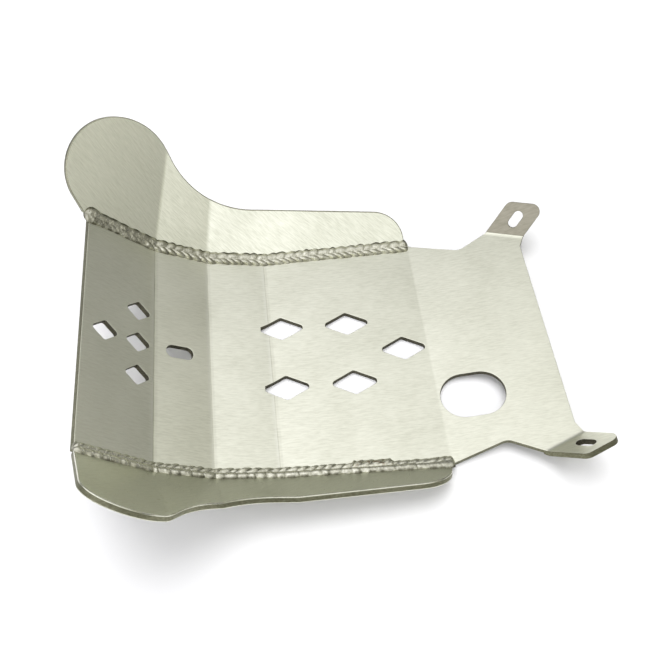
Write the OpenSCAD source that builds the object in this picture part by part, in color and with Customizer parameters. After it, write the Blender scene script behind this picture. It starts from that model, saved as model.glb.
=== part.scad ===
// Skid plate for an off-road motorcycle: a folded sheet with two welded side wings.
// +X runs to the tail, +Y to the rider's right, +Z up, and the belly lies flat on z = 0.

/* [Sheet] */
// Thickness of the sheet
sheet_t = 4; // [2:0.5:5]
// Inner radius of the creases of the plate
bend_r = 5; // [3:0.5:8]

/* [Main plate] */
// Width of the plate from its front edge to the front of the belly
plate_w = 173; // [150:1:190]
// Width of the belly at the tail crease
belly_rear_w = 180; // [160:1:200]
// Length of the belly between its two creases
belly_l = 110; // [100:1:130]
// Length of the panel next to the belly
third_l = 42; // [35:1:55]
// Length of the panel with the drain slot
second_l = 39.5; // [35:0.5:55]
// Length of the front panel
front_l = 53; // [46:1:65]
// Crease angle between belly and third panel
third_bend = 10.5; // [6:0.5:16]
// Crease angle between third and second panel
second_bend = 17; // [8:0.5:22]
// Crease angle between second and front panel
front_bend = 16; // [8:0.5:22]

/* [Tail] */
// Length of the tail panel on the centreline
tail_l = 83; // [75:0.5:100]
// Crease angle between belly and tail
tail_bend = 8; // [2:0.5:12]
// Distance from the tail crease to the waist
waist_x = 38; // [32:0.5:46]
// Width between the two waist corners before rounding
waist_w = 157.5; // [130:0.5:170]
// Rounding in the waist
waist_r = 9; // [4:1:14]
// Width of the straight rear edge
rear_edge_w = 147; // [120:1:156]

/* [Mounting tabs] */
// Distance from the tail crease to the front end of a tab's crease
tab_x = 60.5; // [56:0.5:68]
// Distance between the front ends of the two tab creases
tab_span = 181.5; // [176:0.5:196]
// Length of a tab's crease
tab_l = 28; // [24:0.5:34]
// Angle by which a tab's crease turns inwards to the rear
tab_turn = 20; // [12:0.5:25]
// Height of a tab from its crease
tab_h = 25.5; // [22:0.5:34]
// Angle by which a tab is bent up
tab_bend = 43; // [20:1:60]
// Lean of a tab's sides to the rear
tab_lean = 28.5; // [10:0.5:32]
// Rounding of a tab's outer corners
tab_corner_r = 6; // [2:0.5:8]
// Width of a tab's slot
tab_slot_w = 7; // [5:0.5:9]
// Length of a tab's slot
tab_slot_l = 13.5; // [10:0.5:16]
// Distance from a tab's crease to the middle of its slot
tab_slot_h = 12.8; // [10:0.1:15]

/* [Openings] */
// Length of a belly opening, point to point
diamond_l = 36; // [20:1:40]
// Width of a belly opening, point to point
diamond_w = 19; // [12:0.5:24]
// Rounding of the points of the belly openings
diamond_r = 2.5; // [1:0.5:4]
// Distance from the third crease to the first pair of belly openings
pair_x = 9; // [6:0.5:14]
// Distance along the belly from the first pair to the second
pair_pitch = 46.5; // [42:0.5:54]
// Distance along the belly from the second pair to the single opening
single_pitch = 37.5; // [34:0.5:42]
// Distance across between the openings of a pair
pair_span = 48; // [42:1:60]
// Length of a front opening, point to point
vent_l = 20; // [14:0.5:24]
// Width of a front opening, point to point
vent_w = 15; // [10:0.5:20]
// Rounding of the points of the front openings
vent_r = 2; // [1:0.5:3]
// Distance from the front crease to the row of three front openings
vent_row = 12.2; // [12:0.1:16]
// Distance from the front crease to the single front opening
vent_single = 36.7; // [34:0.1:42]
// Distance across between neighbours in the row of three
vent_pitch = 24.6; // [20:0.2:32]
// Width of the slot in the second panel
slot_w = 9.5; // [6:0.5:12]
// Length of the slot in the second panel
slot_l = 19; // [14:0.5:24]
// Distance from the second crease to the middle of the slot
slot_x = 21.5; // [16:0.5:24]
// Length of the oval access hole
oval_l = 44; // [30:1:50]
// Width of the oval access hole
oval_w = 32.5; // [20:0.5:36]
// Distance from the tail crease to the middle of the oval hole
oval_x = 23.2; // [23:0.1:36]
// Distance of the oval hole to the left of the centreline
oval_y = 42.5; // [30:0.5:50]

/* [Wings] */
// Flare of a wing beside the belly, from the belly's plane
belly_flare = 45.5; // [35:0.5:55]
// Flare beside the third panel, from that panel's plane
third_flare = 46.5; // [36:0.5:56]
// Flare beside the second panel, from that panel's plane
second_flare = 45.5; // [35:0.5:55]
// Flare beside the front panel, from that panel's plane
front_flare = 43; // [33:0.5:53]
// Height of a wing along its slope at the front of the belly
wing_front_h = 38; // [30:0.5:48]
// Height of a wing along its slope at the tail crease
wing_rear_h = 26; // [20:0.5:34]
// Lean of a wing's rear edge at the weld
wing_end_back = 1.8; // [0:0.1:4]
// Radius of a wing's rear corner
wing_corner_r = 24; // [12:1:26]
// Radius of the hollow between a lobe and the straight part
neck_r = 66; // [50:1:80]
// Distance of the right lobe's middle ahead of the belly, in the flat wing
right_lobe_x = 100; // [90:1:108]
// Height of the right lobe's middle, in the flat wing
right_lobe_h = 70.4; // [66:0.2:80]
// Radius of the right lobe's rear half
right_lobe_r = 42; // [34:1:44]
// Radius of the right lobe's front half
right_nose_r = 35; // [30:0.2:36]
// Length by which the right wing runs ahead of the plate's front edge
right_heel = 4; // [0:0.5:6]
// Distance of the left lobe's middle ahead of the belly, in the flat wing
left_lobe_x = 93; // [82:1:96]
// Height of the left lobe's middle, in the flat wing
left_lobe_h = 66.6; // [62:0.2:80]
// Radius of the left lobe's rear half
left_lobe_r = 38.6; // [30:0.2:42]
// Radius of the left lobe's front half
left_nose_r = 18.4; // [16:0.2:30]
// Length by which the left wing runs ahead of the plate's front edge
left_heel = 0; // [0:0.5:6]

/* [Welds] */
// Width of a weld bead on the plate and on the wing
weld_leg = 5; // [3.5:0.5:7]
// Share of the leg that the bead keeps over the seam
weld_throat = 0.58; // [0.45:0.01:0.75]
// Distance between two ripples of a bead
ripple_pitch = 3; // [2.4:0.1:5]
// Height of a ripple
ripple_h = 0.45; // [0.2:0.05:0.8]

/* [Hidden] */
$fn = 64;

axis_y = [0, 1, 0];
reach = 400;
overcut = 1;

// Slopes of the five panels from front to tail, and their lengths on the upper face
slope = [
    third_bend + second_bend + front_bend,
    third_bend + second_bend,
    third_bend,
    0,
    -tail_bend
];
panel_l = [front_l, second_l, third_l, belly_l, tail_l];
function along(i) = [cos(slope[i]), 0, -sin(slope[i])];
function above(i) = [sin(slope[i]), 0, cos(slope[i])];

// Crease i lies on the upper face at the front end of panel i, and crease 0 is the front edge
function crease_at(i) =
    i == 3 ? [-belly_l / 2, 0, sheet_t] :
    i < 3 ? crease_at(i + 1) - panel_l[i] * along(i) :
    crease_at(i - 1) + panel_l[i - 1] * along(i - 1);
function crease_flat(i) =
    i == 3 ? -belly_l / 2 :
    i < 3 ? crease_flat(i + 1) - panel_l[i] :
    crease_flat(i - 1) + panel_l[i - 1];

// How far a panel runs past a sharp crease, to end just inside its neighbour's lower face
function overlap(bend) = 0.96 * sheet_t * tan(bend / 2);

// Places in the flat plate that its outline and holes share
tail_x0 = crease_flat(4);
rear_x = crease_flat(5);
tab_dir = [cos(tab_turn), -sin(tab_turn)];
tab_start = [tail_x0 + tab_x, tab_span / 2];
tab_end = tab_start + tab_l * tab_dir;
tab_rise = [tan(tab_lean), 1];
waist = [tail_x0 + waist_x, waist_w / 2];
rear_corner = [rear_x, rear_edge_w / 2];
root = 3;
arc_steps = 5;
tab_steps = 10;
round_steps = 16;
lobe_steps = 28;

// The four facets of the right wing, from front to rear
flare = [front_flare, second_flare, third_flare, belly_flare];
half_w = [plate_w / 2, plate_w / 2, plate_w / 2, plate_w / 2, belly_rear_w / 2];
function unit(v) = v / norm(v);
function seam_at(i) = crease_at(i) + half_w[i] * axis_y;
function seam_l(i) = norm(seam_at(i + 1) - seam_at(i));
function seam_dir(i) = unit(seam_at(i + 1) - seam_at(i));
function side_dir(i) = unit(axis_y - (axis_y * seam_dir(i)) * seam_dir(i));
function wing_up(i) = cos(flare[i]) * side_dir(i) + sin(flare[i]) * above(i);
function wing_in(i) = cross(seam_dir(i), wing_up(i));

// Crease i of the wing parts facets i - 1 and i
function fold_dir(i) = unit(cross(wing_in(i), wing_in(i - 1))) * sign(
    cross(wing_in(i), wing_in(i - 1)) * wing_up(i));
function fold_bend(i) = acos(wing_in(i) * wing_in(i - 1));
function angle_in(i, v) = atan2(v * wing_up(i), v * seam_dir(i));

// Turn and start of each facet's seam when the wing is laid flat in the plane of its rear facet
function flat_turn(i) = i == 3 ? 0 :
    flat_turn(i + 1) + angle_in(i + 1, fold_dir(i + 1)) - angle_in(i, fold_dir(i + 1));
function flat_at(i) = i == 3 ? [0, 0] :
    flat_at(i + 1) - seam_l(i) * [cos(flat_turn(i)), sin(flat_turn(i))];
function fold_flat(i) = flat_turn(i) + angle_in(i, fold_dir(i));

// Straight upper edge of the flat wing, as a height at x = 0 and a fall per millimetre
wing_fall = (wing_front_h - wing_rear_h) / seam_l(3);
function edge_h(x) = wing_front_h - wing_fall * x;
edge_stretch = sqrt(1 + wing_fall * wing_fall);
corner_x = seam_l(3) - wing_end_back - wing_corner_r;
corner_h = edge_h(corner_x) - wing_corner_r * edge_stretch;

// Middle of the hollow: tangent to the upper edge and to a lobe
function hollow_at(lobe, r) =
    let(
        rise = wing_front_h + neck_r * edge_stretch - lobe[1],
        a = 1 + wing_fall * wing_fall,
        b = -2 * lobe[0] - 2 * wing_fall * rise,
        c = lobe[0] * lobe[0] + rise * rise - (r + neck_r) * (r + neck_r),
        x = (-b + sqrt(b * b - 4 * a * c)) / (2 * a)
    )
    [x, lobe[1] + rise - wing_fall * x];

function arc_dir(a) = [cos(a), sin(a)];
function arc(hub, r, from, to, steps) = [
    for (k = [0:steps]) hub + r * arc_dir(from + (to - from) * k / steps)
];

// Arc that rounds the corner at p, from its side towards a to its side towards b
function rounded(p, a, b, r) =
    let(
        da = unit(a - p),
        db = unit(b - p),
        half = acos(da * db) / 2,
        hub = p + unit(da + db) * r / sin(half),
        touch = p + da * r / tan(half) - hub,
        from = atan2(touch[1], touch[0])
    )
    arc(hub, r, from, from - sign(cross(da, db)) * (180 - 2 * half), round_steps);

module half_plane(at, turn, gap) {
    translate(at) rotate(turn) translate([-reach, gap]) square([2 * reach, reach]);
}

// Four-pointed opening with rounded points, long side along x
module diamond(l, w, r) {
    half_angle = atan2(w, l);
    x = l / 2 - r / sin(half_angle);
    y = w / 2 - r / cos(half_angle);
    foot = r * [sin(half_angle), cos(half_angle)];
    for (side = [-1, 1]) {
        translate([side * x, 0]) circle(r);
        translate([0, side * y]) circle(r);
    }
    polygon([
        [x, 0] + foot, [0, y] + foot, [-foot[0], y + foot[1]], [-x - foot[0], foot[1]],
        [-x - foot[0], -foot[1]], [-foot[0], -y - foot[1]], [foot[0], -y - foot[1]], [x + foot[0], -foot[1]]
    ]);
}

module slot(l, w) {
    square([l - w, w], center = true);
    for (side = [-1, 1]) translate([side * (l - w) / 2, 0]) circle(w / 2);
}

module belly_openings() {
    second = pair_x + pair_pitch;
    translate([-belly_l / 2, 0]) {
        for (x = [pair_x, second], y = [-pair_span / 2, pair_span / 2])
            translate([x, y]) diamond(diamond_l, diamond_w, diamond_r);
        translate([second + single_pitch, 0]) diamond(diamond_l, diamond_w, diamond_r);
    }
}

module front_openings() {
    translate([crease_flat(1), 0]) {
        for (i = [-1:1]) translate([-vent_row, i * vent_pitch]) diamond(vent_l, vent_w, vent_r);
        translate([-vent_single, 0]) diamond(vent_l, vent_w, vent_r);
    }
}

// Upper and lower face of the plate in side view, from the tail crease to the front edge
function side_view(p) = [p[0], p[2]];
function crease_arc(i, r) =
    let(
        bend = slope[i - 1] - slope[i],
        middle = slope[i] + bend / 2,
        hub = side_view(crease_at(i)) + bend_r / cos(bend / 2) * [sin(middle), cos(middle)]
    )
    [for (k = [0:arc_steps]) let(a = slope[i] + bend * k / arc_steps) hub - r * [sin(a), cos(a)]];
function face_line(r) = [for (i = [3:-1:1], p = crease_arc(i, r)) p];

module fore_sheet() {
    tail_end = crease_at(4)[0] + overlap(tail_bend);
    front = side_view(crease_at(0));
    down = sheet_t * side_view(above(0));
    lower = face_line(bend_r + sheet_t);
    rotate([90, 0, 0]) linear_extrude(reach, center = true) polygon(concat(
        [[tail_end, sheet_t]], face_line(bend_r), [front, front - down],
        [for (k = [len(lower) - 1:-1:0]) lower[k]], [[tail_end, 0]]
    ));
}

// Outline of the plate ahead of the tail, seen from above
module fore_outline() {
    belly_w = function(x) plate_w + (belly_rear_w - plate_w) * (x + belly_l / 2) / belly_l;
    for (side = [0, 1]) mirror([0, side]) polygon([
        [-reach, -overcut], [-reach, plate_w / 2], [-belly_l / 2, plate_w / 2],
        [belly_l, belly_w(belly_l) / 2], [belly_l, -overcut]
    ]);
}

// Outline of the right half of the flat tail, which runs on past the tab's crease into its root
module tail_outline() {
    crease_end = [tail_x0 - overlap(tail_bend), belly_rear_w / 2];
    polygon(concat(
        [[crease_end[0], -overcut], crease_end],
        rounded(waist, crease_end, tab_start, waist_r),
        [tab_start + root * unit(tab_start - waist), tab_end + root * unit(tab_end - rear_corner)],
        [rear_corner, [rear_x, -overcut]]
    ));
}

module on_panel(i, at) {
    translate(crease_at(at)) rotate([0, slope[i], 0]) translate([-crease_flat(at), 0, 0]) children();
}

module cutter(i, at) {
    on_panel(i, at) translate([0, 0, -sheet_t - overcut]) linear_extrude(sheet_t + 2 * overcut) children();
}

// Right mounting tab, with x along its crease and y outwards
module in_tab() {
    translate(tab_start) rotate(-tab_turn) children();
}

// Sheet that runs flat up to the right tab's crease, turns up round it and runs on as the tab
module tab_sheet() {
    start = -bend_r * tan(tab_bend / 2);
    end = tab_h + overcut;
    rise = [cos(tab_bend), sin(tab_bend)];
    turn = function(r) [
        for (k = [0:tab_steps]) let(a = tab_bend * k / tab_steps) [start + r * sin(a), bend_r - r * cos(a)]
    ];
    lower = turn(bend_r + sheet_t);
    in_tab() rotate([90, 0, 90]) linear_extrude(reach, center = true) polygon(concat(
        [[-reach, 0]], turn(bend_r),
        [end * rise, end * rise + sheet_t * [sin(tab_bend), -cos(tab_bend)]],
        [for (k = [tab_steps:-1:0]) lower[k]], [[-reach, -sheet_t]]
    ));
}

module tab_leaf() {
    low = -root * tab_rise;
    high = tab_h * tab_rise;
    across = [tab_l, 0];
    polygon(concat(
        [low],
        rounded(high, low, high + across, tab_corner_r),
        rounded(high + across, high, low + across, tab_corner_r),
        [low + across]
    ));
}

module in_leaf() {
    in_tab() rotate([tab_bend, 0, 0]) translate([0, 0, -sheet_t - overcut])
        linear_extrude(sheet_t + 2 * overcut) children();
}

module tail_half() {
    difference() {
        intersection() {
            tab_sheet();
            union() {
                translate([0, 0, -sheet_t - overcut]) linear_extrude(sheet_t + root) tail_outline();
                in_leaf() tab_leaf();
            }
        }
        in_leaf() translate(tab_slot_h * tab_rise + [tab_l / 2, 0]) rotate(90 - tab_lean)
            slot(tab_slot_l, tab_slot_w);
    }
}

module tail() {
    on_panel(4, 4) difference() {
        for (side = [0, 1]) mirror([0, side, 0]) tail_half();
        translate([tail_x0 + oval_x, -oval_y, -sheet_t - overcut])
            linear_extrude(sheet_t + 2 * overcut) slot(oval_l, oval_w);
    }
}

module main_plate() {
    color([0.86, 0.86, 0.81]) {
        difference() {
            intersection() {
                fore_sheet();
                linear_extrude(reach) fore_outline();
            }
            cutter(3, 3) belly_openings();
            cutter(0, 1) front_openings();
            cutter(1, 2) translate([crease_flat(2) - slot_x, 0]) slot(slot_l, slot_w);
        }
        tail();
    }
}

// Wing laid flat, with x to the rear along the belly's seam and y up its slope
module wing_blank(lobe, lobe_r, nose_r, heel) {
    hollow = hollow_at(lobe, lobe_r);
    hollow_turn = atan2(hollow[1] - lobe[1], hollow[0] - lobe[0]);
    nose = lobe + [0, lobe_r - nose_r];
    toe = flat_at(0) - heel * [cos(flat_turn(0)), sin(flat_turn(0))];
    nose_turn = atan2(nose[1] - toe[1], nose[0] - toe[0]) + asin(min(1, nose_r / norm(nose - toe))) + 90;
    fall_turn = atan(wing_fall);
    polygon(concat(
        [toe, flat_at(1), flat_at(2), flat_at(3), [seam_l(3), 0]],
        arc([corner_x, corner_h], wing_corner_r, 0, 90 - fall_turn, round_steps),
        arc(hollow, neck_r, 270 - fall_turn, 180 + hollow_turn, round_steps),
        arc(lobe, lobe_r, hollow_turn, 90, lobe_steps),
        [for (k = [1:lobe_steps]) nose + nose_r * arc_dir(90 + (nose_turn - 90) * k / lobe_steps)]
    ));
}

module wing_facet(i) {
    s = seam_dir(i);
    u = wing_up(i);
    n = wing_in(i);
    p = seam_at(i);
    multmatrix([[s[0], u[0], n[0], p[0]], [s[1], u[1], n[1], p[1]], [s[2], u[2], n[2], p[2]]])
        rotate(-flat_turn(i)) translate([-flat_at(i)[0], -flat_at(i)[1], -sheet_t])
            linear_extrude(sheet_t) difference() {
                children();
                if (i > 0) half_plane(flat_at(i), fold_flat(i), overlap(fold_bend(i)));
                if (i < 3) half_plane(flat_at(i + 1), fold_flat(i + 1) + 180, overlap(fold_bend(i + 1)));
            }
}

module wing(lobe, lobe_r, nose_r, heel) {
    for (i = [0:3]) wing_facet(i) wing_blank(lobe, lobe_r, nose_r, heel);
}

module right_wing() {
    color([0.88, 0.88, 0.83]) wing([-right_lobe_x, right_lobe_h], right_lobe_r, right_nose_r, right_heel);
}

module left_wing() {
    color([0.88, 0.88, 0.83]) mirror([0, 1, 0])
        wing([-left_lobe_x, left_lobe_h], left_lobe_r, left_nose_r, left_heel);
}

// Weld bead in the corner between plate and wing: a wedge whose face carries the ripples
weld_steps = 3;
weld_sides = 5;
weld_cap = 4;
ripple_bow = 1.6;
seam_start = [for (i = 0, l = 0; i < 4; l = l + seam_l(i), i = i + 1) l];
weld_l = seam_start[3] + seam_l(3);
weld_step = ripple_pitch / weld_steps;

function weld_point(base, inward, up, s, t) =
    let(
        edge = 2 * t - 1,
        phase = (s + ripple_bow * (1 - edge * edge)) / ripple_pitch,
        crest = ripple_h * sin(180 * (phase - floor(phase))),
        from_end = min(1, min(s, weld_l - s) / weld_cap),
        cap = 0.4 + 0.6 * sqrt(1 - (1 - from_end) * (1 - from_end)),
        r = cap * (weld_leg * (weld_throat + (1 - weld_throat) * edge * edge) + crest),
        span = acos(inward * up)
    )
    base + r * (sin((1 - t) * span) * inward + sin(t * span) * up) / sin(span);

function weld_ring(base, inward, up, s) = concat(
    [base],
    [for (k = [0:weld_sides]) weld_point(base, inward, up, s, k / weld_sides)]
);

// Rings along facet i's seam, clear of its creases, and one ring on each crease
function weld_run(i) = [
    for (k = [0:floor(seam_l(i) / weld_step)])
        let(s = min(k * weld_step, seam_l(i)))
        if ((i == 0 || s > weld_step) && (i == 3 || s < seam_l(i) - weld_step))
            weld_ring(seam_at(i) + s * seam_dir(i), -side_dir(i), wing_up(i), seam_start[i] + s)
];
function weld_crease(i) = [weld_ring(seam_at(i), -axis_y, fold_dir(i), seam_start[i])];
function weld_end() = [weld_ring(seam_at(4), -side_dir(3), wing_up(3), weld_l)];

module weld() {
    run = concat(
        weld_run(0), weld_crease(1), weld_run(1), weld_crease(2), weld_run(2), weld_crease(3), weld_run(3)
    );
    last_s = floor(seam_l(3) / weld_step) * weld_step;
    rings = seam_l(3) - last_s > weld_step / 2 ? concat(run, weld_end()) : run;
    n = weld_sides + 2;
    points = [for (ring = rings, p = ring) p];
    sides = [
        for (k = [0:len(rings) - 2], j = [0:n - 1])
            let(a = k * n + j, b = k * n + (j + 1) % n)
            for (face = [[a, b, a + n], [b, b + n, a + n]]) face
    ];
    front = [for (j = [1:n - 2]) [0, j + 1, j]];
    top = (len(rings) - 1) * n;
    back = [for (j = [1:n - 2]) [top, top + j, top + j + 1]];
    polyhedron(points, concat(sides, front, back));
}

module right_weld() {
    color([0.72, 0.71, 0.66]) weld();
}

module left_weld() {
    color([0.72, 0.71, 0.66]) mirror([0, 1, 0]) weld();
}

main_plate();
right_wing();
left_wing();
right_weld();
left_weld();
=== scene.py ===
import math
import random

import bmesh
import bpy
from mathutils import Matrix, Vector, noise


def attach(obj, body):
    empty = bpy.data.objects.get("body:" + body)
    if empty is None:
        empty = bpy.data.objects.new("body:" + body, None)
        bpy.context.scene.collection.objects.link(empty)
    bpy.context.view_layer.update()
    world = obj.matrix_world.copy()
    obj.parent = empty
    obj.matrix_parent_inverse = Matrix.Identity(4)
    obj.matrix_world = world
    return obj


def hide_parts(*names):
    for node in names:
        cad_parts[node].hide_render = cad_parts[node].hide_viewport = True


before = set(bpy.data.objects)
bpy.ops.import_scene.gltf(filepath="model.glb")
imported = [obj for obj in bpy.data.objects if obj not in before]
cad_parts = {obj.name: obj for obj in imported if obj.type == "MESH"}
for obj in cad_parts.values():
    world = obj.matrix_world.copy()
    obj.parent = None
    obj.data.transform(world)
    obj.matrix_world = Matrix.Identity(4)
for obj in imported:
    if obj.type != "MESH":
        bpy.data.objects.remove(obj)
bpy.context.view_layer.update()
print("frame loaded")

# sheet sizes that the beads and the finishes need, in metres and degrees,
# and the upward directions of the tail and of its far tab
sheetShape = {
    "panelLengths": (0.053, 0.0395, 0.042, 0.110),
    "panelSlopes": (43.5, 27.5, 10.5, 0.0),
    "bellyTop": 0.004,
    "tailCreaseX": 0.055,
    "frontHalfWidth": 0.0865,
    "rearHalfWidth": 0.090,
    "flares": (43.0, 45.5, 46.5, 45.5),
    "tailUp": (-0.13917, 0.0, 0.99027),
    "tabUp": (-0.33277, -0.64087, 0.69177),
}

plateFinish = {
    "base": (0.80, 0.805, 0.67),
    "worn": (0.90, 0.905, 0.765),
    "dull": (0.69, 0.695, 0.565),
    "roughness": (0.28, 0.40),
    "grainTurn": 0.0,
    "grainLength": 0.0060,
    "grainWidth": 0.0009,
    "grainDepth": 0.20,
    "grainShare": 0.62,
}
# the far tab reads darker than the rest of the plate: its colours are darkened as painted shade
farTabShadedFinish = dict(
    plateFinish, base=(0.28, 0.265, 0.205), worn=(0.33, 0.315, 0.25), dull=(0.22, 0.21, 0.155)
)
farWingFinish = {
    "base": (0.79, 0.80, 0.665),
    "worn": (0.91, 0.915, 0.78),
    "dull": (0.66, 0.67, 0.54),
    "roughness": (0.28, 0.42),
    "grainTurn": 31.0,
    "grainLength": 0.0070,
    "grainWidth": 0.0007,
    "grainDepth": 0.25,
    "grainShare": 0.78,
}
# the near wing's colours are a darker copy of the far wing's: painted shade
nearWingShadedFinish = {
    "base": (0.655, 0.665, 0.545),
    "worn": (0.72, 0.73, 0.605),
    "dull": (0.59, 0.60, 0.48),
    "roughness": (0.26, 0.38),
    "grainTurn": -32.0,
    "grainLength": 0.0070,
    "grainWidth": 0.0009,
    "grainDepth": 0.18,
    "grainShare": 0.5,
}
cutFinish = {
    "base": (0.165, 0.165, 0.105),
    "worn": (0.27, 0.265, 0.18),
    "dull": (0.10, 0.098, 0.06),
    "roughness": (0.42, 0.60),
    "grainTurn": 0.0,
    "grainLength": 0.002,
    "grainWidth": 0.0008,
    "grainDepth": 0.30,
    "grainShare": 0.5,
}
easedFinish = {
    "base": (0.62, 0.625, 0.515),
    "worn": (0.74, 0.74, 0.63),
    "dull": (0.44, 0.44, 0.34),
    "roughness": (0.14, 0.26),
    "grainTurn": 0.0,
    "grainLength": 0.004,
    "grainWidth": 0.0012,
    "grainDepth": 0.12,
    "grainShare": 0.5,
}
# the far wing's eased edge takes a darker copy of the eased finish: painted shade
farEdgeShadedFinish = dict(
    easedFinish, base=(0.34, 0.34, 0.25), worn=(0.50, 0.50, 0.39), dull=(0.22, 0.22, 0.15)
)
holeFinish = {
    "base": (0.085, 0.08, 0.055),
    "worn": (0.16, 0.15, 0.105),
    "dull": (0.04, 0.037, 0.025),
    "roughness": (0.50, 0.70),
    "grainTurn": 0.0,
    "grainLength": 0.0012,
    "grainWidth": 0.0005,
    "grainDepth": 0.35,
    "grainShare": 0.5,
}
beadFinish = {
    "base": (0.63, 0.625, 0.505),
    "worn": (0.78, 0.775, 0.66),
    "dull": (0.48, 0.47, 0.37),
    "roughness": (0.20, 0.40),
    "sootAndShade": (0.11, 0.105, 0.07),
    "scorch": (0.33, 0.275, 0.19),
    "skinScale": 700.0,
    "skinDetail": 4.0,
    "skinRoughness": 0.6,
    "tintStops": (0.32, 0.50, 0.68),
    "reliefShare": 0.35,
    "reliefHeight": 0.00012,
}
# shared by all brushed finishes: the streaks' fineness, the broad clouds under them
# and where the dull, base and worn colours stand
brushedPattern = {
    "grainDetail": 3.0,
    "grainRoughness": 0.62,
    "cloudScale": 26.0,
    "cloudDetail": 4.0,
    "tintStops": (0.30, 0.50, 0.72),
    "reliefHeight": 0.00008,
}
# the roughness changes between these two values of a pattern
glossSpan = (0.3, 0.7)


def blankFinish(name):
    finish = bpy.data.materials.new(name)
    finish.use_nodes = True
    nodes, links = finish.node_tree.nodes, finish.node_tree.links
    nodes.clear()
    out = nodes.new("ShaderNodeOutputMaterial")
    return finish, nodes, links, out.inputs["Surface"]


def metalFinish(name):
    finish, nodes, links, surface = blankFinish(name)
    shader = nodes.new("ShaderNodeBsdfPrincipled")
    shader.inputs["Metallic"].default_value = 1.0
    links.new(shader.outputs["BSDF"], surface)
    return finish, nodes, links, shader


def noiseOver(nodes, links, place, scale, detail=2.0, roughness=0.5):
    pattern = nodes.new("ShaderNodeTexNoise")
    for socket, value in (("Scale", scale), ("Detail", detail), ("Roughness", roughness)):
        pattern.inputs[socket].default_value = value
    links.new(place, pattern.inputs["Vector"])
    return pattern.outputs["Fac"]


def ramp(nodes, stops):
    node = nodes.new("ShaderNodeValToRGB")
    points = node.color_ramp.elements
    while len(points) < len(stops):
        points.new(0.5)
    for point, (place, colour) in zip(points, stops):
        point.position = place
        point.color = (*colour, 1) if len(colour) == 3 else colour
    return node


def grey(value):
    return (value, value, value)


def tintFrom(nodes, links, pattern, look, places):
    tint = ramp(nodes, list(zip(places, (look["dull"], look["base"], look["worn"]))))
    links.new(pattern, tint.inputs["Fac"])
    return tint.outputs["Color"]


def laidOver(nodes, links, share, below):
    # a colour mix over the one below, by the share that is linked to it
    laid = nodes.new("ShaderNodeMix")
    laid.data_type = "RGBA"
    links.new(share, laid.inputs["Factor"])
    links.new(below, laid.inputs["A"])
    return laid


def glossFrom(nodes, links, pattern, shader, look):
    # rough where the pattern is low and smoother where it is high
    smooth, rough = look["roughness"]
    gloss = nodes.new("ShaderNodeMapRange")
    for socket, value in zip(("From Min", "From Max", "To Min", "To Max"), (*glossSpan, rough, smooth)):
        gloss.inputs[socket].default_value = value
    links.new(pattern, gloss.inputs["Value"])
    links.new(gloss.outputs["Result"], shader.inputs["Roughness"])


def reliefFrom(nodes, links, pattern, shader, share, height):
    bump = nodes.new("ShaderNodeBump")
    bump.inputs["Strength"].default_value = share
    bump.inputs["Distance"].default_value = height
    links.new(pattern, bump.inputs["Height"])
    links.new(bump.outputs["Normal"], shader.inputs["Normal"])


def eitherRay(nodes, links, first, second):
    # 1 on rays of the first or the second kind
    ray = nodes.new("ShaderNodeLightPath")
    either = nodes.new("ShaderNodeMath")
    either.operation = "MAXIMUM"
    links.new(ray.outputs[first], either.inputs[0])
    links.new(ray.outputs[second], either.inputs[1])
    return either.outputs["Value"]


# painted highlight and painted shade along the bends: a brighter strip of painted highlight, then a dark
# line and a duller strip of painted shade, each stop with its place across the bend, its tone and its
# share
bendHighlightAndShade = {
    "reach": 0.0035,
    "unevenScale": 70.0,
    "bendShade": (0.33, 0.33, 0.24),
    "bendHighlight": (1.0, 1.0, 0.90),
    "stops": (
        (0.12, "bendHighlight", 0.0), (0.30, "bendHighlight", 0.30), (0.45, "bendHighlight", 0.70), (0.475, "bendShade", 0.65),
        (0.53, "bendShade", 0.65), (0.56, "bendShade", 0.30), (0.74, "bendShade", 0.26), (0.88, "bendShade", 0.0),
    ),
}


def bendPlaces():
    # x of each bend line ahead of the belly on the plate's upper face
    x = sheetShape["tailCreaseX"]
    places = []
    for slope, length in zip(sheetShape["panelSlopes"][:0:-1], sheetShape["panelLengths"][:0:-1]):
        x -= length * math.cos(math.radians(slope))
        places.append(x)
    return places


# lays the painted highlight and painted shade of each bend over the colour
def paintBendHighlightAndShade(nodes, links, place, colour):
    split = nodes.new("ShaderNodeSeparateXYZ")
    links.new(place.outputs["Object"], split.inputs["Vector"])
    uneven = noiseOver(nodes, links, place.outputs["Object"], bendHighlightAndShade["unevenScale"])
    stops = [(at, (*bendHighlightAndShade[tone], share)) for at, tone, share in bendHighlightAndShade["stops"]]
    reach = bendHighlightAndShade["reach"]
    for x in bendPlaces():
        span = nodes.new("ShaderNodeMapRange")
        span.inputs["From Min"].default_value = x - reach
        span.inputs["From Max"].default_value = x + reach
        links.new(split.outputs["X"], span.inputs["Value"])
        line = ramp(nodes, stops)
        links.new(span.outputs["Result"], line.inputs["Fac"])
        share = nodes.new("ShaderNodeMath")
        share.operation = "MULTIPLY"
        links.new(line.outputs["Alpha"], share.inputs[0])
        links.new(uneven, share.inputs[1])
        laid = laidOver(nodes, links, share.outputs["Value"], colour)
        links.new(line.outputs["Color"], laid.inputs["B"])
        colour = laid.outputs["Result"]
    return colour


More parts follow.
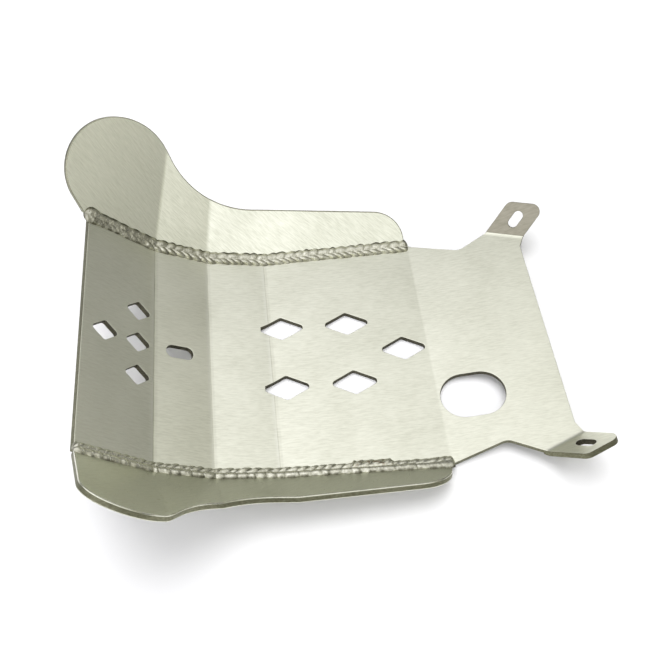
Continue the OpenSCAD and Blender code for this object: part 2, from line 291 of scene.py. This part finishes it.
def brushedFinish(name, look, withBendLight=False):
    # fine streaks along the turned x axis over broad clouds, both on object coordinates
    finish, nodes, links, shader = metalFinish(name)
    place = nodes.new("ShaderNodeTexCoord")
    turn = nodes.new("ShaderNodeMapping")
    turn.inputs["Rotation"].default_value = (0, 0, math.radians(look["grainTurn"]))
    links.new(place.outputs["Object"], turn.inputs["Vector"])
    stretch = nodes.new("ShaderNodeMapping")
    along, across = 1 / look["grainLength"], 1 / look["grainWidth"]
    stretch.inputs["Scale"].default_value = (along, across, along)
    links.new(turn.outputs["Vector"], stretch.inputs["Vector"])
    pattern = brushedPattern
    grain = noiseOver(
        nodes, links, stretch.outputs["Vector"], 1.0, pattern["grainDetail"], pattern["grainRoughness"]
    )
    cloud = noiseOver(nodes, links, place.outputs["Object"], pattern["cloudScale"], pattern["cloudDetail"])
    mix = nodes.new("ShaderNodeMix")
    mix.data_type = "FLOAT"
    mix.inputs["Factor"].default_value = 1 - look["grainShare"]
    links.new(grain, mix.inputs["A"])
    links.new(cloud, mix.inputs["B"])
    colour = tintFrom(nodes, links, mix.outputs["Result"], look, pattern["tintStops"])
    # painted highlight and painted shade along the plate's bends
    if withBendLight:
        colour = paintBendHighlightAndShade(nodes, links, place, colour)
    links.new(colour, shader.inputs["Base Color"])
    glossFrom(nodes, links, grain, shader, look)
    reliefFrom(nodes, links, grain, shader, look["grainDepth"], pattern["reliefHeight"])
    return finish


def weldFinish(name, look):
    finish, nodes, links, shader = metalFinish(name)
    place = nodes.new("ShaderNodeTexCoord")
    skin = noiseOver(
        nodes, links, place.outputs["Object"], look["skinScale"], look["skinDetail"], look["skinRoughness"]
    )
    colour = tintFrom(nodes, links, skin, look, look["tintStops"])
    # soot mixed with painted shade lies between the puddles, along the toes and over the ends, scorch
    # where the run was spattered
    for mark in ("scorch", "sootAndShade"):
        amount = nodes.new("ShaderNodeAttribute")
        amount.attribute_name = mark
        stain = laidOver(nodes, links, amount.outputs["Fac"], colour)
        stain.inputs["B"].default_value = (*look[mark], 1)
        colour = stain.outputs["Result"]
    links.new(colour, shader.inputs["Base Color"])
    glossFrom(nodes, links, skin, shader, look)
    reliefFrom(nodes, links, skin, shader, look["reliefShare"], look["reliefHeight"])
    return finish


# the plate's finish carries the painted highlight and painted shade of its bends
plateMetalWithBendLight = brushedFinish("satin plate with painted bend light", plateFinish, withBendLight=True)
farTabShadedMetal = brushedFinish("satin far tab, painted shade", farTabShadedFinish)
farWingMetal = brushedFinish("satin far wing", farWingFinish)
nearWingShadedMetal = brushedFinish("satin near wing, painted shade", nearWingShadedFinish)
cutMetal = brushedFinish("cut edge", cutFinish)
easedMetal = brushedFinish("eased edge", easedFinish)
farEdgeShadedMetal = brushedFinish("eased far edge, painted shade", farEdgeShadedFinish)
holeMetal = brushedFinish("hole wall", holeFinish)
beadMetalWithShade = weldFinish("weld bead", beadFinish)
print("finishes made")


def newPiece(name, work, finishes):
    mesh = bpy.data.meshes.new(name)
    work.to_mesh(mesh)
    work.free()
    for finish in finishes:
        mesh.materials.append(finish)
    piece = bpy.data.objects.new(name, mesh)
    bpy.context.collection.objects.link(piece)
    return piece


# dressed sheets: copies of the CAD sheets with eased edges and a finish for each kind of face;
# a wing keeps its inner faces only and gets its thickness again. Lengths in metres, angles in degrees
sheetDress = {
    "thickness": 0.004,
    "mergeDist": 0.000002,
    "flatBelow": 0.4,  # faces that differ by less become one
    "evenWeight": 100,
    "easing": 0.00035,
    "wingEasing": 0.0007,
    "easingSteps": 2,
    "sharpAbove": 28.0,
    "foldAbove": 7.0,
    "foldLeast": 0.018,  # shorter edges are no folds
    "foldWidth": 0.0014,
    "foldMismatch": 0.0004,
    "broadLeast": 0.0010,  # square metres that face one way on a broad side
    "rimLeast": 0.0012,
}
# how the plate's faces are told apart: least cosines against straight up, the tail's up
# and the tab's up, and places on the sheet in metres
plateZones = {
    "tailFrom": 0.1,
    "levelLeast": 0.705,
    "tailLeast": 0.72,
    "tabLeast": 0.97,
    "tabSlot": (0.1367, 0.0930),
    "tabSlotReach": 0.0092,
    "openingsX": (-0.163, 0.130),
    "openingsY": 0.0735,
}


def mergedCopy(nodeName):
    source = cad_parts[nodeName]
    work = bmesh.new()
    work.from_mesh(source.data)
    bmesh.ops.transform(work, matrix=source.matrix_world, verts=work.verts)
    bmesh.ops.remove_doubles(work, verts=work.verts, dist=sheetDress["mergeDist"])
    bmesh.ops.dissolve_limit(
        work, angle_limit=math.radians(sheetDress["flatBelow"]), verts=work.verts, edges=work.edges,
        use_dissolve_boundaries=False
    )
    return work


def softenFolds(work):
    # a cut on either side of each sharp fold keeps the broad faces flat and lets the fold shade round
    low, high = (math.radians(sheetDress[key]) for key in ("foldAbove", "sharpAbove"))
    folds = []
    for edge in work.edges:
        if len(edge.link_faces) != 2 or edge.calc_length() < sheetDress["foldLeast"]:
            continue
        if low < edge.calc_face_angle(0) < high:
            start, end = (vert.co for vert in edge.verts)
            normal = (edge.link_faces[0].normal + edge.link_faces[1].normal).normalized()
            folds.append(((start + end) / 2, (end - start).normalized().cross(normal)))
    for middle, across in folds:
        for side in (-1, 1):
            bmesh.ops.bisect_plane(
                work, geom=work.verts[:] + work.edges[:] + work.faces[:], dist=sheetDress["mergeDist"],
                plane_co=middle + side * sheetDress["foldWidth"] * across, plane_no=across
            )
    print("folds softened:", len(folds))


def finishedSheet(work, pieceName, nodeName, finishes, easing, thicken=False):
    for face in work.faces:
        face.smooth = True
    piece = newPiece(pieceName, work, finishes)
    easedSlot = -1  # eased faces take their neighbours' finish
    if thicken:
        grow = piece.modifiers.new("sheet thickness", "SOLIDIFY")
        grow.thickness = sheetDress["thickness"]
        grow.offset = -1
        grow.use_even_offset = True
        grow.material_offset_rim = 1  # the cut finish
        easedSlot = 2
    ease = piece.modifiers.new("eased edges", "BEVEL")
    ease.width = easing
    ease.segments = sheetDress["easingSteps"]
    ease.limit_method = "ANGLE"
    ease.angle_limit = math.radians(sheetDress["sharpAbove"])
    ease.use_clamp_overlap = False
    ease.miter_outer = "MITER_ARC"
    ease.material = easedSlot
    even = piece.modifiers.new("even shading", "WEIGHTED_NORMAL")
    even.keep_sharp = False
    even.weight = sheetDress["evenWeight"]
    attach(piece, "root")
    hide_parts(nodeName)


def plateKind(face):
    # 0 for the sheet's faces, 1 for its outer edge, 2 for the walls of the openings and 3 for the far tab,
    # which takes a darker copy of the plate's finish as painted shade
    zones = plateZones
    middle = face.calc_center_median()
    tailUp, tabUp = (Vector(sheetShape[key]) for key in ("tailUp", "tabUp"))
    tabUp.y *= math.copysign(1, middle.y)
    tailShare, tabShare = (abs(face.normal.dot(up)) for up in (tailUp, tabUp))
    if middle.x < zones["tailFrom"]:
        isSheet = abs(face.normal.z) > zones["levelLeast"]
    else:
        isSheet = max(tailShare, tabShare) > zones["tailLeast"]
    if isSheet:
        isFarTab = middle.x > zones["tailFrom"] and middle.y > 0 and tabShare > zones["tabLeast"]
        return 3 if isFarTab else 0
    slotX, slotY = zones["tabSlot"]
    atTabSlot = math.hypot(middle.x - slotX, abs(middle.y) - slotY) < zones["tabSlotReach"]
    front, rear = zones["openingsX"]
    atOpening = front < middle.x < rear and abs(middle.y) < zones["openingsY"]
    return 2 if atOpening or atTabSlot else 1


def facing(face):
    return tuple(round(part, 2) for part in face.normal)


def innerSurface(work, side):
    # only the wing's inner faces stay: the thickness grows outwards from them again
    area = {}
    for face in work.faces:
        area[facing(face)] = area.get(facing(face), 0) + face.calc_area()
    outer = []
    for face in work.faces:
        if area[facing(face)] < sheetDress["broadLeast"] or face.normal.y * side > 0:
            outer.append(face)
    bmesh.ops.delete(work, geom=outer, context="FACES")
    bmesh.ops.remove_doubles(work, verts=work.verts, dist=sheetDress["foldMismatch"])
    print("inner faces kept:", len(work.faces))


def clearRim(work):
    # rim points right beside a fold's end are dropped, as the eased edge would overrun them
    spare = set()
    for edge in work.edges:
        spot, end = sorted(edge.verts, key=lambda vert: len(vert.link_edges))
        if edge.calc_length() < sheetDress["rimLeast"] and len(spot.link_edges) == 2 < len(end.link_edges):
            spare.add(spot)
    bmesh.ops.dissolve_verts(work, verts=list(spare))
    print("rim points dropped:", len(spare))


plateWork = mergedCopy("main_plate")
softenFolds(plateWork)
for plateFace in plateWork.faces:
    plateFace.material_index = plateKind(plateFace)
plateMetals = (plateMetalWithBendLight, cutMetal, holeMetal, farTabShadedMetal)
finishedSheet(plateWork, "skidPlate", "main_plate", plateMetals, sheetDress["easing"])
wingPieces = (
    # the far wing's eased edge takes its darkened finish: painted shade
    ("right_wing", "farWing", 1, farWingMetal, farEdgeShadedMetal),
    # the near wing takes its darkened finish: painted shade
    ("left_wing", "nearWing", -1, nearWingShadedMetal, easedMetal),
)
for wingNode, wingPiece, wingSide, wingMetal, rimMetal in wingPieces:
    wingWork = mergedCopy(wingNode)
    innerSurface(wingWork, wingSide)
    softenFolds(wingWork)
    clearRim(wingWork)
    wingMetals = (wingMetal, cutMetal, rimMetal)
    finishedSheet(
        wingWork, wingPiece, wingNode, wingMetals, sheetDress["wingEasing"], thicken=True
    )
print("sheets dressed")


# weld beads: a band that is swept along the seam, two rows of puddles side by side, in metres.
# throat is the bead's height between its toes as a share of its leg
beadShape = {
    "leg": 0.0050,
    "throat": 0.55,
    "stepLength": 0.00036,
    "across": 25,
    "rowHeight": 0.00075,
    "rowWidth": 0.19,
    "sink": 0.0006,
    "capLength": 0.0030,
    "creaseBlend": 0.0025,
    "mergeDist": 0.000001,
    "wander": 0.0006,  # how far the puddles' borders stray
    "crestLate": 1.5,  # above 1, a puddle is highest past its middle
    "crestMiddle": 0.4,
    "humpMiddle": 0.45,
    "scallopMiddle": 0.6,
    "legRough": 0.0004,
    "legWide": 0.05,
    "toeHold": 6,  # the higher, the nearer to the toes the ripples reach
    "fineHeight": 0.00012,
    "wakeLength": 0.012,  # the quiet front stretch ends over this length
    "rearCalmFrom": 0.065,
    "rearCalmLength": 0.02,
    "spatterEase": 0.0015,
    "spatterSwell": 0.30,
    "plateRow": {
        "middle": 0.23, "pitch": 0.0058, "spread": 0.22, "crest": 0.00095, "crestSpread": 0.35,
        "lean": 0.0115, "scallop": 0.12, "seam": 1.0, "toe": 0.5,
    },
    "wingRow": {
        "middle": 0.74, "pitch": 0.0066, "spread": 0.35, "crest": 0.00038, "crestSpread": 0.60,
        "lean": -0.0022, "scallop": 0.16, "seam": 0.40, "toe": 0.90,
    },
}
# soot with painted shade, and scorch: how they follow the puddles, the toes, the ends and the noise
beadSootAndShade = {
    "seamBelow": 0.28,
    "toeFrom": 0.72,
    "toeWidth": 0.16,
    "toeShare": 0.60,
    "toeUneven": 2.2,
    "rearFade": 0.8,
    "veilLeast": 0.25,
    "endShade": 0.5,
    "speckle": 0.25,
    "scorchGain": 2.6,
    "scorchLoss": 0.15,
}
# noise along and across the bead, and its place in the noise
beadNoise = {
    "rough": (210, 2.2, 3.1),
    "fine": (900, 9, 5.3),
    "spots": (420, 6, 9.7),
}
# swell: the end it stands at (0 front, 1 rear), its share, its place and its width.
# calm: how far the quiet front stretch reaches, how lively it is there and how dusky
# runDarkening darkens the whole run, fading rearward, and lightens it where negative
beadRuns = {
    "farBead": {
        "node": "right_weld", "side": 1, "seed": 11, "ahead": 0.0044, "beyond": 0.0012,
        "swell": (0, 0.22, 0.005, 0.005), "spatter": None, "runDarkening": 0.48, "calm": (0.050, 0.30, 0.10),
        "rearCalm": 1.0, "grit": 0.00010,
    },
    "nearBead": {
        "node": "left_weld", "side": -1, "seed": 23, "ahead": 0.0012, "beyond": 0.0018,
        "swell": (1, 0.24, 0.004, 0.006), "spatter": (0.1800, 0.2065), "runDarkening": -0.18,
        "calm": (0.046, 0.80, 0.04), "rearCalm": 0.55, "grit": 0.0,
    },
}


def seamFrames(side):
    # points on the plate's upper edge with the directions in and up the wing, from front to rear
    slopes = [math.radians(a) for a in sheetShape["panelSlopes"]]
    lengths = sheetShape["panelLengths"]
    place = Vector((sheetShape["tailCreaseX"], 0, sheetShape["bellyTop"]))
    points = [place]
    for slope, length in zip(reversed(slopes), reversed(lengths)):
        place = place - length * Vector((math.cos(slope), 0, -math.sin(slope)))
        points.insert(0, place)
    halves = [sheetShape["frontHalfWidth"]] * 4 + [sheetShape["rearHalfWidth"]]
    points = [p + Vector((0, half, 0)) for p, half in zip(points, halves)]
    runs = []
    for i in range(4):
        ahead = (points[i + 1] - points[i]).normalized()
        over = Vector((math.sin(slopes[i]), 0, math.cos(slopes[i])))
        out = Vector((0, 1, 0))
        out = (out - out.dot(ahead) * ahead).normalized()
        flare = math.radians(sheetShape["flares"][i])
        rise = math.cos(flare) * out + math.sin(flare) * over
        runs.append((points[i], points[i + 1], -out, rise))
    if side < 0:
        flip = Vector((1, -1, 1))
        runs = [tuple(v * flip for v in run) for run in runs]
    return runs


def makePuddles(dice, row, total):
    # where each puddle of a row starts, its length, how high it stands and how far it spreads;
    # the row starts and ends well past the seam
    puddles = []
    spare = 4 * row["pitch"]
    s = -spare
    while s < total + spare:
        length = row["pitch"] * (1 + dice.uniform(-1, 1) * row["spread"])
        crest = row["crest"] * (1 + dice.uniform(-1, 1) * row["crestSpread"])
        puddles.append((s, length, crest, dice.uniform(-1, 1)))
        s += length
    return puddles


def puddleAt(puddles, s):
    for start, length, crest, wide in puddles:
        if s < start + length:
            break
    return crest, wide, min(1, (s - start) / length)


def seamPlace(runs, lengths, s):
    # place and directions at a distance along the seam, blended round the creases
    start = 0
    for i, length in enumerate(lengths):
        if s <= start + length or i == len(lengths) - 1:
            break
        start += length
    a, b, inward, rise = runs[i]
    place = a + (b - a) * ((s - start) / lengths[i])
    for j, edge in ((i - 1, start), (i + 1, start + lengths[i])):
        near = 1 - abs(s - edge) / beadShape["creaseBlend"]
        if 0 <= j < len(runs) and near > 0:
            inward = inward.lerp(runs[j][2], 0.5 * near)
            rise = rise.lerp(runs[j][3], 0.5 * near)
    return place, inward.normalized(), rise.normalized()


def clamped(value):
    return min(1, max(0, value))


def puddleForm(run, rows, s, t, ends):
    # radius of the bead at a point of its round, with the soot, painted shade and scorch that lie there
    shape, dirt = beadShape, beadSootAndShade
    side = run["side"]
    row, puddles = rows[0] if t < 0.5 else rows[1]
    edge = 2 * t - 1
    along, across, spot = beadNoise["rough"]
    rough = noise.noise(Vector((s * along, spot * side, t * across)))
    along, across, spot = beadNoise["fine"]
    fine = noise.noise(Vector((s * along, t * across, spot * side)))

    # the puddle that lies here, its crown along the seam and its hump across the row
    here = s + row["lean"] * (t - row["middle"]) + shape["wander"] * rough
    crest, wide, part = puddleAt(puddles, here)
    crown = math.sin(math.pi * part ** shape["crestLate"])
    hump = math.exp(-((t - row["middle"]) / shape["rowWidth"]) ** 2)

    # how lively the run is here
    reach, quiet, dusk = run["calm"]
    woken = clamped((s - reach) / shape["wakeLength"] + 0.5)
    lively = quiet + (1 - quiet) * woken
    rearward = clamped((shape["rearCalmFrom"] - ends[1]) / shape["rearCalmLength"])
    lively *= 1 - (1 - run["rearCalm"]) * rearward

    # length of the leg, which swells near one end and where the run was spattered
    scallop = row["scallop"] * lively * (crown - shape["scallopMiddle"]) * edge * edge
    leg = shape["leg"] * (1 + shape["legWide"] * wide + scallop) + shape["legRough"] * rough
    end, swell, swellAt, swellWidth = run["swell"]
    leg *= 1 + swell * math.exp(-((ends[end] - swellAt) / swellWidth) ** 2)
    scorch = 0.0
    if run["spatter"] and row is shape["plateRow"]:
        low, high = run["spatter"]
        laid = clamped(min(s - low, high - s) / shape["spatterEase"])
        leg *= 1 + shape["spatterSwell"] * laid
        along, across, spot = beadNoise["spots"]
        spots = noise.noise(Vector((s * along, t * across, spot)))
        scorch = laid * clamped(dirt["scorchGain"] * spots - dirt["scorchLoss"])

    # the body's radius, hollow between the toes, with the puddle and the grit on it
    body = leg * (shape["throat"] + (1 - shape["throat"]) * edge * edge)
    free = 1 - abs(edge) ** shape["toeHold"]
    ripple = shape["rowHeight"] * (hump - shape["humpMiddle"])
    ripple += crest * (crown - shape["crestMiddle"]) * (0.3 + 0.7 * hump)
    body += ripple * lively * free
    body += (shape["fineHeight"] + run["grit"] * (1 - woken)) * fine * free

    # soot and painted shade in the seams between puddles and along the toes, painted shade over the ends,
    # and a darkening over the whole run
    seam = max(0, 1 - crown / dirt["seamBelow"]) * row["seam"] * (0.5 + 0.5 * hump) * lively
    toe = clamped((abs(edge) - dirt["toeFrom"]) / dirt["toeWidth"]) * row["toe"]
    toe *= clamped(dirt["toeShare"] + dirt["toeUneven"] * rough)
    gone = ends[0] / (ends[0] + ends[1])
    veil = run["runDarkening"] * (1 - dirt["rearFade"] * gone) * max(dirt["veilLeast"], 0.5 + rough)
    # the quiet front stretch is darker, and the rounded ends get painted shade
    veil += dusk * (1 - woken) + dirt["endShade"] * max(0, 1 - min(ends) / shape["capLength"])
    sootAndShade = min(1, max(seam, toe) + dirt["speckle"] * max(0, fine) + veil)
    return body, sootAndShade, scorch


def makeBead(pieceName, run):
    # a grid whose columns run along the seam: the outer two close the bead in the corner under it,
    # the others go round it from the plate's toe to the wing's
    shape = beadShape
    dice = random.Random(run["seed"])
    runs = seamFrames(run["side"])
    lengths = [(b - a).length for a, b, _, _ in runs]
    total = sum(lengths)
    first, last = -run["ahead"], total + run["beyond"]
    rows = [(shape[key], makePuddles(dice, shape[key], total)) for key in ("plateRow", "wingRow")]
    alongCount = int((last - first) / shape["stepLength"])
    acrossCount = shape["across"] + 1
    work = bmesh.new()
    marks = [work.verts.layers.float.new(name) for name in ("sootAndShade", "scorch")]
    bmesh.ops.create_grid(work, x_segments=alongCount, y_segments=acrossCount, size=0.5)
    for vert in work.verts:
        s = first + (vert.co.x + 0.5) * (last - first)
        column = round((vert.co.y + 0.5) * acrossCount)
        place, inward, rise = seamPlace(runs, lengths, s)
        corner = place - shape["sink"] * (inward + rise).normalized()
        if column in (0, acrossCount):
            vert.co = corner
            continue
        t = (column - 1) / (acrossCount - 2)
        ends = (s - first, last - s)
        body, *laid = puddleForm(run, rows, s, t, ends)
        for mark, amount in zip(marks, laid):
            vert[mark] = amount
        cap = math.sqrt(max(0, 1 - (1 - min(1, min(ends) / shape["capLength"])) ** 2))  # round ends
        span = inward.angle(rise)
        way = (math.sin((1 - t) * span) * inward + math.sin(t * span) * rise) / math.sin(span)
        vert.co = corner.lerp(place + way * body, cap)
    bmesh.ops.remove_doubles(work, verts=work.verts, dist=shape["mergeDist"])
    bmesh.ops.recalc_face_normals(work, faces=work.faces)
    for face in work.faces:
        face.smooth = True
    piece = newPiece(pieceName, work, (beadMetalWithShade,))
    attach(piece, "root")
    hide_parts(run["node"])


for beadName, beadRun in beadRuns.items():
    makeBead(beadName, beadRun)
print("beads laid")


floorLook = {
    "size": 6.0,
    "colour": (0.58, 0.58, 0.58),
    "lift": 0.035,
}


def makeFloor():
    # a matt floor, a little brighter where the camera and reflections see it
    finish, nodes, links, surface = blankFinish("white floor")
    matt = nodes.new("ShaderNodeBsdfDiffuse")
    matt.inputs["Color"].default_value = (*floorLook["colour"], 1)
    glow = nodes.new("ShaderNodeEmission")
    glow.inputs["Color"].default_value = (1, 1, 1, 1)
    lift = nodes.new("ShaderNodeMath")
    lift.operation = "MULTIPLY"
    lift.inputs[1].default_value = floorLook["lift"]
    links.new(eitherRay(nodes, links, "Is Camera Ray", "Is Glossy Ray"), lift.inputs[0])
    links.new(lift.outputs["Value"], glow.inputs["Strength"])
    both = nodes.new("ShaderNodeAddShader")
    links.new(matt.outputs["BSDF"], both.inputs[0])
    links.new(glow.outputs["Emission"], both.inputs[1])
    links.new(both.outputs["Shader"], surface)
    work = bmesh.new()
    bmesh.ops.create_grid(work, x_segments=8, y_segments=8, size=floorLook["size"] / 2)
    newPiece("floor", work, (finish,))


makeFloor()
print("floor laid")


# studio: a wide soft box overhead, bright over the front end, in a dim room
boxLook = {
    "height": 0.63,
    "reach": 1.4,
    "middle": -0.15,
    "alongStops": (
        (-0.9, (2.18, 2.17, 2.36)), (-0.3, (1.72, 1.71, 1.80)), (0.3, (1.15, 1.15, 1.16)),
        (0.9, (0.64, 0.63, 0.55)),
    ),
    "acrossStops": (
        (-1.2, grey(1.0)), (-0.7, grey(0.96)), (-0.3, grey(0.91)), (0.1, grey(0.86)), (0.5, grey(0.71)),
        (0.9, grey(0.31)),
    ),
}
roomLook = {
    "towards": (-0.7, -0.7, 0.0),
    "stops": ((-1.0, grey(0.28)), (-0.2, grey(0.29)), (0.4, grey(0.38)), (1.0, grey(0.64))),
}
# two broad lamps that only the floor shows: one behind the far side and one from the rear near side
lampLooks = {
    "far lamp": {"strength": 3.5, "spread": 46.0, "from": (-0.03, 0.21, 0.975)},
    "near lamp": {"strength": 0.6, "spread": 20.0, "from": (0.70, -0.30, 0.65)},
}


def rampOver(nodes, links, value, stops, top=1.0):
    # a ramp whose stops stand at places of their own, with colours given as shares of a top brightness
    low, high = stops[0][0], stops[-1][0]
    scale = nodes.new("ShaderNodeMapRange")
    scale.inputs["From Min"].default_value = low
    scale.inputs["From Max"].default_value = high
    links.new(value, scale.inputs["Value"])
    shares = []
    for place, colour in stops:
        shares.append(((place - low) / (high - low), tuple(part / top for part in colour)))
    shade = ramp(nodes, shares)
    links.new(scale.outputs["Result"], shade.inputs["Fac"])
    return shade.outputs["Color"]


def makeBox():
    finish, nodes, links, surface = blankFinish("soft box")
    place = nodes.new("ShaderNodeTexCoord")
    split = nodes.new("ShaderNodeSeparateXYZ")
    links.new(place.outputs["Object"], split.inputs["Vector"])
    brightest = max(max(colour) for _, colour in boxLook["alongStops"])
    both = nodes.new("ShaderNodeVectorMath")
    both.operation = "MULTIPLY"
    links.new(rampOver(nodes, links, split.outputs["X"], boxLook["alongStops"], brightest), both.inputs[0])
    links.new(rampOver(nodes, links, split.outputs["Y"], boxLook["acrossStops"]), both.inputs[1])
    glow = nodes.new("ShaderNodeEmission")
    glow.inputs["Strength"].default_value = brightest
    links.new(both.outputs["Vector"], glow.inputs["Color"])
    # the camera looks through the box, and it casts no shadow
    clear = nodes.new("ShaderNodeBsdfTransparent")
    mix = nodes.new("ShaderNodeMixShader")
    links.new(eitherRay(nodes, links, "Is Camera Ray", "Is Shadow Ray"), mix.inputs["Fac"])
    links.new(glow.outputs["Emission"], mix.inputs[1])
    links.new(clear.outputs["BSDF"], mix.inputs[2])
    links.new(mix.outputs["Shader"], surface)
    work = bmesh.new()
    lift = Matrix.Translation((0, boxLook["middle"], boxLook["height"]))
    bmesh.ops.create_grid(work, x_segments=2, y_segments=2, size=boxLook["reach"], matrix=lift)
    newPiece("softBox", work, (finish,))


def makeRoom():
    room = bpy.data.worlds.new("studio room")
    bpy.context.scene.world = room
    room.use_nodes = True
    nodes, links = room.node_tree.nodes, room.node_tree.links
    nodes.clear()
    out = nodes.new("ShaderNodeOutputWorld")
    light = nodes.new("ShaderNodeBackground")
    place = nodes.new("ShaderNodeTexCoord")
    along = nodes.new("ShaderNodeVectorMath")
    along.operation = "DOT_PRODUCT"
    along.inputs[1].default_value = roomLook["towards"]
    links.new(place.outputs["Generated"], along.inputs[0])
    links.new(rampOver(nodes, links, along.outputs["Value"], roomLook["stops"]), light.inputs["Color"])
    links.new(light.outputs["Background"], out.inputs["Surface"])


def makeLamp(name, look):
    data = bpy.data.lights.new(name, "SUN")
    data.energy = look["strength"]
    data.angle = math.radians(look["spread"])
    lamp = bpy.data.objects.new(name, data)
    bpy.context.collection.objects.link(lamp)
    lamp.rotation_mode = "QUATERNION"
    lamp.rotation_quaternion = Vector(look["from"]).to_track_quat("Z", "Y")
    lamp.visible_glossy = False


makeBox()
makeRoom()
for lampName, lampLook in lampLooks.items():
    makeLamp(lampName, lampLook)
print("studio lit")


# camera at the photograph's viewing angle
cameraLook = {
    "place": (-0.060519, -0.294153, 0.484939),
    "right": (0.994013, -0.107483, 0.019648),
    "down": (-0.078291, -0.826067, -0.558107),
    "lens": 45.345,
    "sensor": 36,
    "nearest": 0.01,
    "furthest": 20,
}


def makeCamera():
    data = bpy.data.cameras.new("camera")
    data.sensor_width = cameraLook["sensor"]
    data.lens = cameraLook["lens"]
    data.clip_start = cameraLook["nearest"]
    data.clip_end = cameraLook["furthest"]
    camera = bpy.data.objects.new("camera", data)
    bpy.context.collection.objects.link(camera)
    right = Vector(cameraLook["right"]).normalized()
    up = -Vector(cameraLook["down"])
    up = (up - up.dot(right) * right).normalized()
    back = right.cross(up)
    turn = Matrix((right, up, back)).transposed().to_4x4()
    camera.matrix_world = Matrix.Translation(cameraLook["place"]) @ turn
    bpy.context.scene.camera = camera


makeCamera()
bpy.context.scene.view_settings.view_transform = "Standard"
print("camera set")
